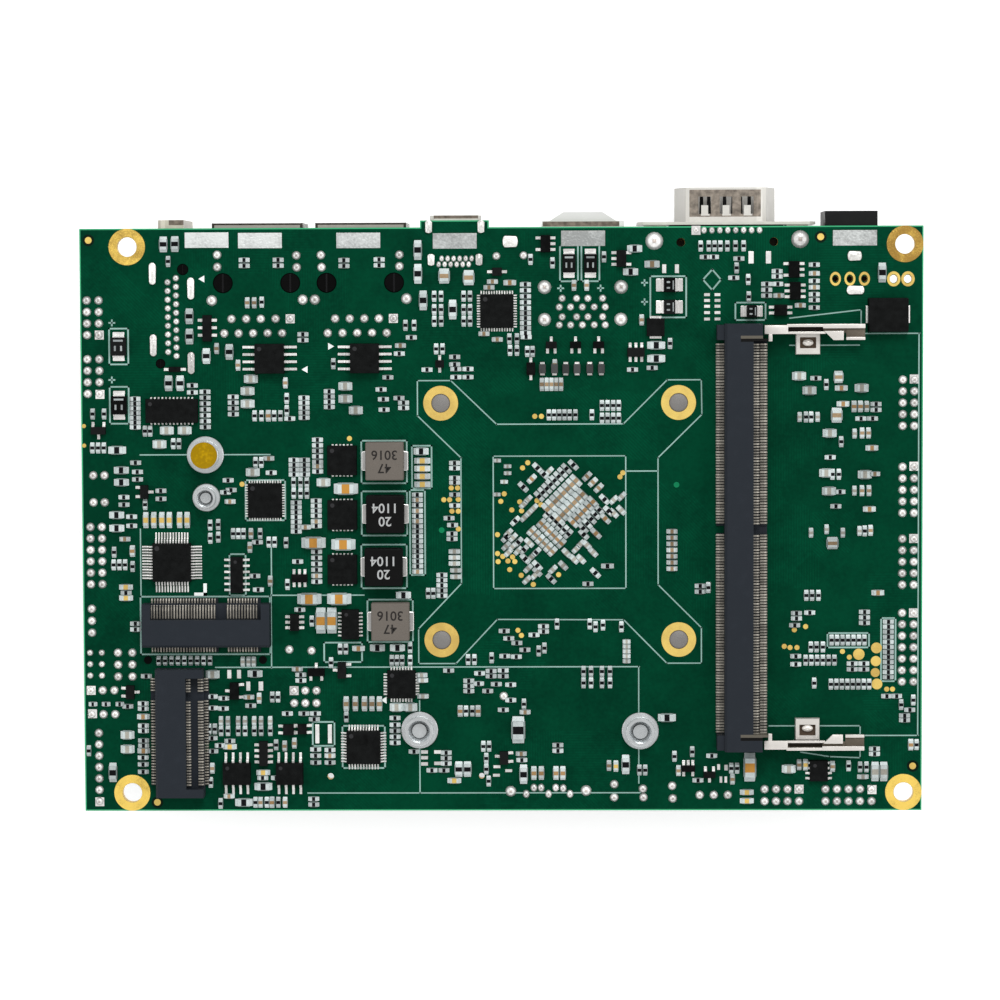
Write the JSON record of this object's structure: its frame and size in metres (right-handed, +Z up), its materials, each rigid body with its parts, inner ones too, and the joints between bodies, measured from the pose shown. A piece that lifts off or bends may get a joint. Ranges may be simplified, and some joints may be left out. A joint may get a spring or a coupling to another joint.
{
  "type": "embedded motherboard",
  "caption": "Single-board computer seen on its solder side, with laptop memory and M.2 sockets, and a rear edge of network, video, USB, serial and power sockets on the hidden side.",
  "frame": {"origin": "middle of the footprint, on the surface that the board's connectors and heatsink lie on", "axes": "+Z up, out of the pictured solder side; +Y towards the rear edge with the sockets; +X to the right in the picture"},
  "size_m": [0.146, 0.1084, 0.0225],
  "materials": {
    "solder_mask": "semi-gloss green solder mask over glass-epoxy laminate",
    "dark_blue_plastic": "slate blue-black moulded plastic",
    "tinned_steel": "tin-plated sheet",
    "polyimide_film": "amber film",
    "grey_ferrite": "pressed grey-brown powder",
    "mould_compound": "black moulding compound",
    "black_plastic": "black moulded plastic",
    "package_green": "green package laminate",
    "silicon": "polished silicon",
    "black_anodised": "black anodised",
    "grey_aluminium": "bare machined"
  },
  "bodies": {
    "board_assembly": {"circuit_board": "solder_mask", "memory_socket_housing": "dark_blue_plastic", "m2_socket_short": "dark_blue_plastic", "m2_socket_long": "dark_blue_plastic", "memory_solder_tab_upper": "tinned_steel", "memory_solder_tab_lower": "tinned_steel", "m2_nut_1": "tinned_steel", "m2_nut_2": "tinned_steel", "m2_nut_3": "tinned_steel", "m2_nut_4": "tinned_steel", "lan_shell_1": "tinned_steel", "lan_shell_2": "tinned_steel", "hdmi_shell": "tinned_steel", "usb_c_shell": "tinned_steel", "usb_stack_shell": "tinned_steel", "dsub_shell": "tinned_steel", "jack_pin": "tinned_steel", "pickup_film": "polyimide_film", "inductor_1": "grey_ferrite", "inductor_4": "grey_ferrite", "inductor_2": "mould_compound", "inductor_3": "mould_compound", "soic_chip_1": "mould_compound", "soic_chip_2": "mould_compound", "soic_chip_3": "mould_compound", "soic_chip_4": "mould_compound", "qfn_chip_1": "mould_compound", "qfn_chip_2": "mould_compound", "qfn_chip_3": "mould_compound", "lqfp_chip_1": "mould_compound", "lqfp_chip_2": "mould_compound", "buffer_chip": "mould_compound", "sop_chip": "mould_compound", "power_stage_1": "mould_compound", "power_stage_2": "mould_compound", "power_stage_3": "mould_compound", "power_controller": "mould_compound", "surge_diode": "mould_compound", "suppressor_block": "mould_compound", "regulator_chip": "mould_compound", "lan_insert_1": "black_plastic", "lan_insert_2": "black_plastic", "hdmi_insert": "black_plastic", "usb_c_insert": "black_plastic", "usb_stack_insert": "black_plastic", "dsub_housing": "black_plastic", "jack_body": "black_plastic", "sata_plug": "black_plastic", "processor_package": "package_green", "processor_die": "silicon", "heatsink": "black_anodised", "cooler_post_1": "grey_aluminium", "cooler_post_2": "grey_aluminium", "cooler_post_3": "grey_aluminium", "cooler_post_4": "grey_aluminium"},
    "upper_latch": {"memory_latch_upper": "tinned_steel"},
    "lower_latch": {"memory_latch_lower": "tinned_steel"}
  },
  "joints": [
    {"name": "upper_latch_spring", "type": "hinge", "parent": "board_assembly", "child": "upper_latch", "pos_m": [0.0454, 0.0298, 0.0173], "axis": [0, 0, 1], "range_deg": [0, 4.5], "stiffness_Nm_per_rad": 0.2},
    {"name": "lower_latch_spring", "type": "hinge", "parent": "board_assembly", "child": "lower_latch", "pos_m": [0.0454, -0.0426, 0.0173], "axis": [0, 0, -1], "range_deg": [0, 4.5], "stiffness_Nm_per_rad": 0.2}
  ]
}
